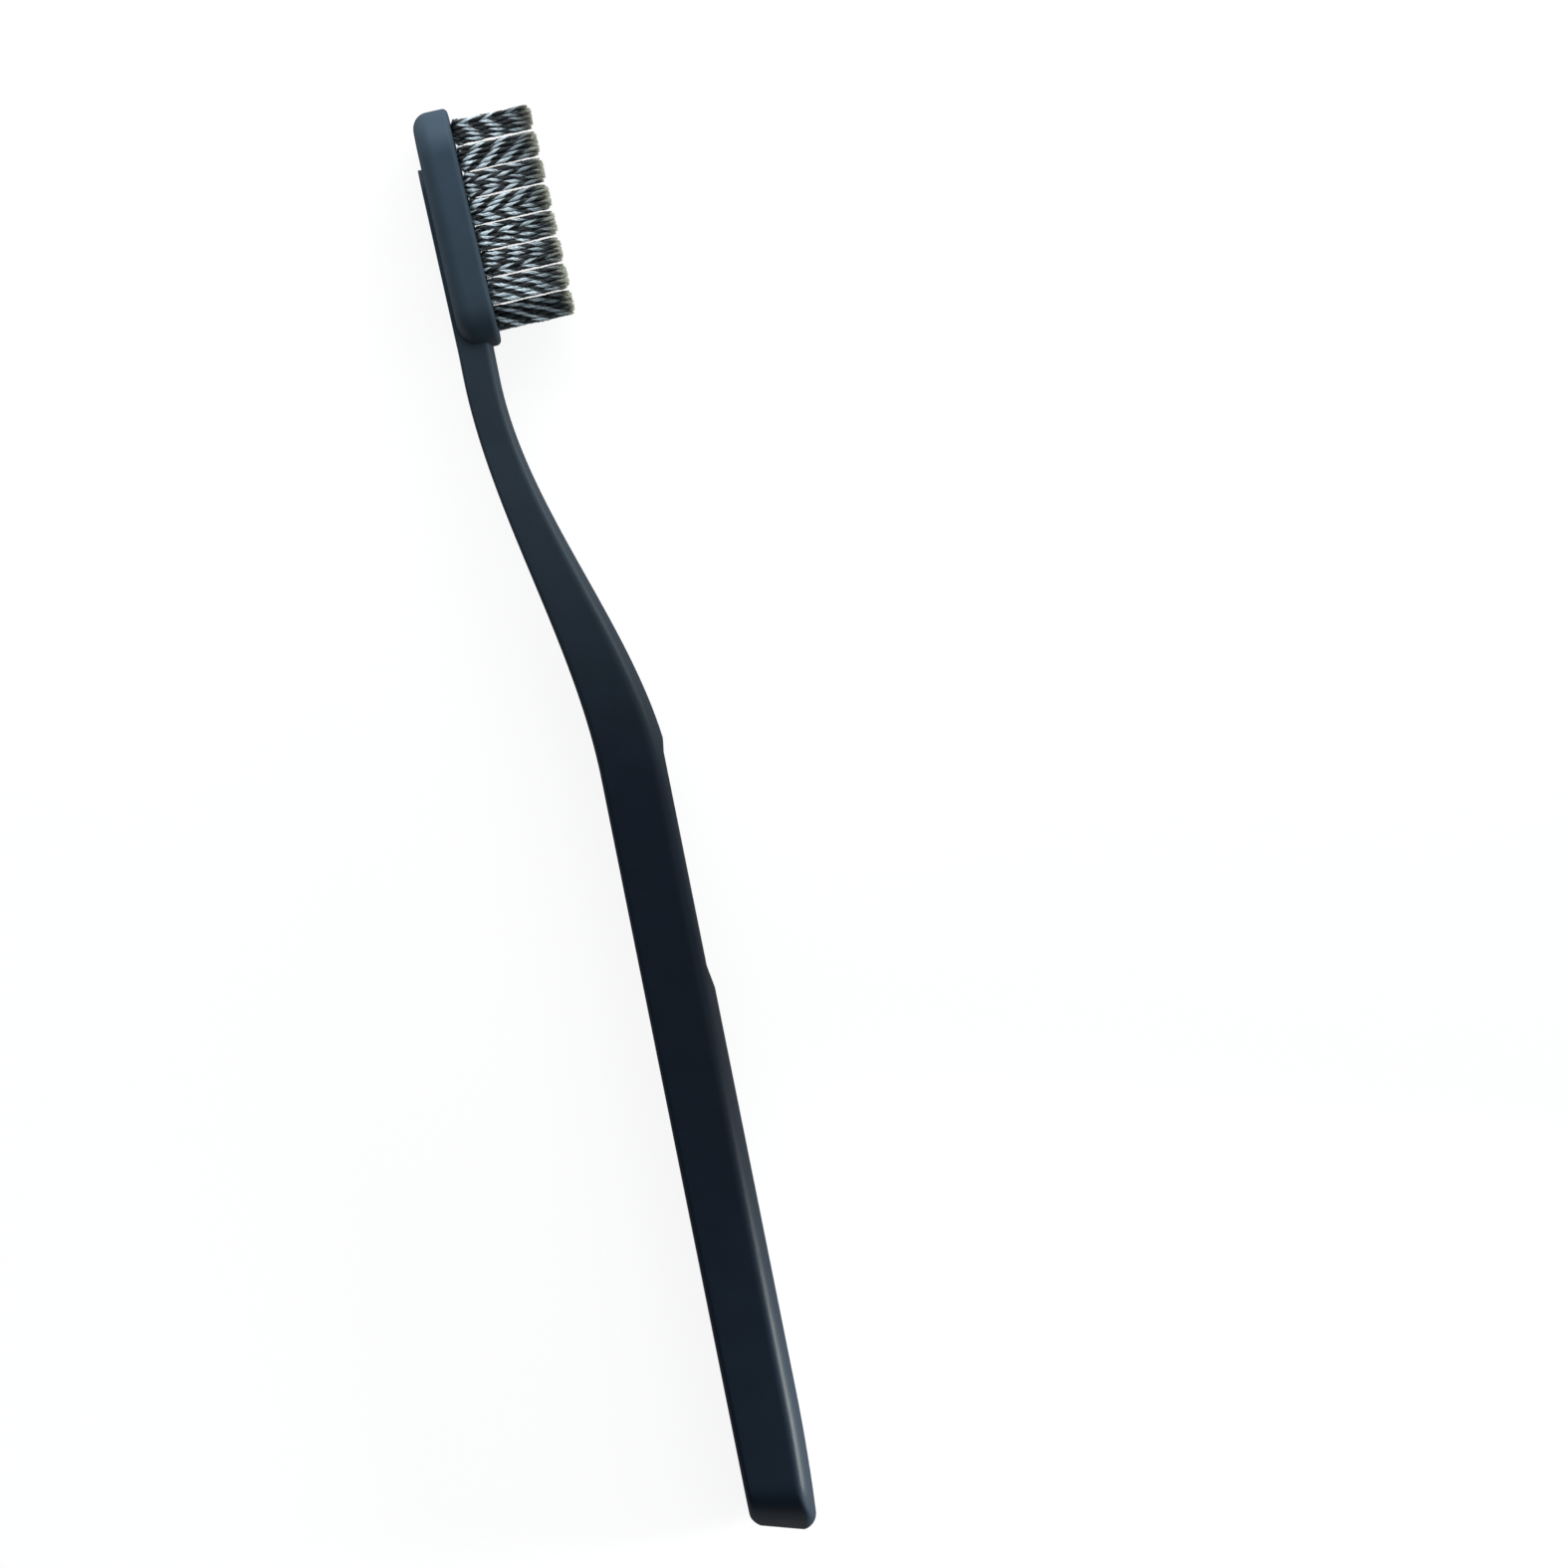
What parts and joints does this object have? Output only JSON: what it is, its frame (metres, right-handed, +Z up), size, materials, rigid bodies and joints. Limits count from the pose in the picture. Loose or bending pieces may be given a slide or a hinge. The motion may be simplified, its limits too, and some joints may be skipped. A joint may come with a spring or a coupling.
{
  "type": "toothbrush",
  "caption": "Manual toothbrush with a moulded bent handle, a capsule-shaped head and flat-trimmed tufts of black and white crimped bristles, each held by a small metal anchor.",
  "frame": {"origin": "on the surface that the brush lies on, under the middle of its box", "axes": "+Y along the handle towards the head, +X the way the bristles point, +Z up, across the width"},
  "size_m": [0.017, 0.1902, 0.0119],
  "materials": {
    "body_plastic": "satin moulded, blue-black charcoal",
    "bristles": "crimped filaments, black and white mixed, trimmed flat",
    "anchor_metal": "plain drawn strip"
  },
  "bodies": {
    "root": {"brush_body": "body_plastic", "tuft_r1_c1": "bristles", "tuft_r1_c2": "bristles", "tuft_r2_c1": "bristles", "tuft_r2_c2": "bristles", "tuft_r2_c3": "bristles", "tuft_r2_c4": "bristles", "tuft_r3_c1": "bristles", "tuft_r3_c2": "bristles", "tuft_r3_c3": "bristles", "tuft_r3_c4": "bristles", "tuft_r4_c1": "bristles", "tuft_r4_c2": "bristles", "tuft_r4_c3": "bristles", "tuft_r4_c4": "bristles", "tuft_r5_c1": "bristles", "tuft_r5_c2": "bristles", "tuft_r5_c3": "bristles", "tuft_r5_c4": "bristles", "tuft_r6_c1": "bristles", "tuft_r6_c2": "bristles", "tuft_r6_c3": "bristles", "tuft_r6_c4": "bristles", "tuft_r7_c1": "bristles", "tuft_r7_c2": "bristles", "tuft_r7_c3": "bristles", "tuft_r7_c4": "bristles", "tuft_r8_c1": "bristles", "tuft_r8_c2": "bristles", "anchor_r1_c1": "anchor_metal", "anchor_r1_c2": "anchor_metal", "anchor_r2_c1": "anchor_metal", "anchor_r2_c2": "anchor_metal", "anchor_r2_c3": "anchor_metal", "anchor_r2_c4": "anchor_metal", "anchor_r3_c1": "anchor_metal", "anchor_r3_c2": "anchor_metal", "anchor_r3_c3": "anchor_metal", "anchor_r3_c4": "anchor_metal", "anchor_r4_c1": "anchor_metal", "anchor_r4_c2": "anchor_metal", "anchor_r4_c3": "anchor_metal", "anchor_r4_c4": "anchor_metal", "anchor_r5_c1": "anchor_metal", "anchor_r5_c2": "anchor_metal", "anchor_r5_c3": "anchor_metal", "anchor_r5_c4": "anchor_metal", "anchor_r6_c1": "anchor_metal", "anchor_r6_c2": "anchor_metal", "anchor_r6_c3": "anchor_metal", "anchor_r6_c4": "anchor_metal", "anchor_r7_c1": "anchor_metal", "anchor_r7_c2": "anchor_metal", "anchor_r7_c3": "anchor_metal", "anchor_r7_c4": "anchor_metal", "anchor_r8_c1": "anchor_metal", "anchor_r8_c2": "anchor_metal"}
  },
  "joints": []
}
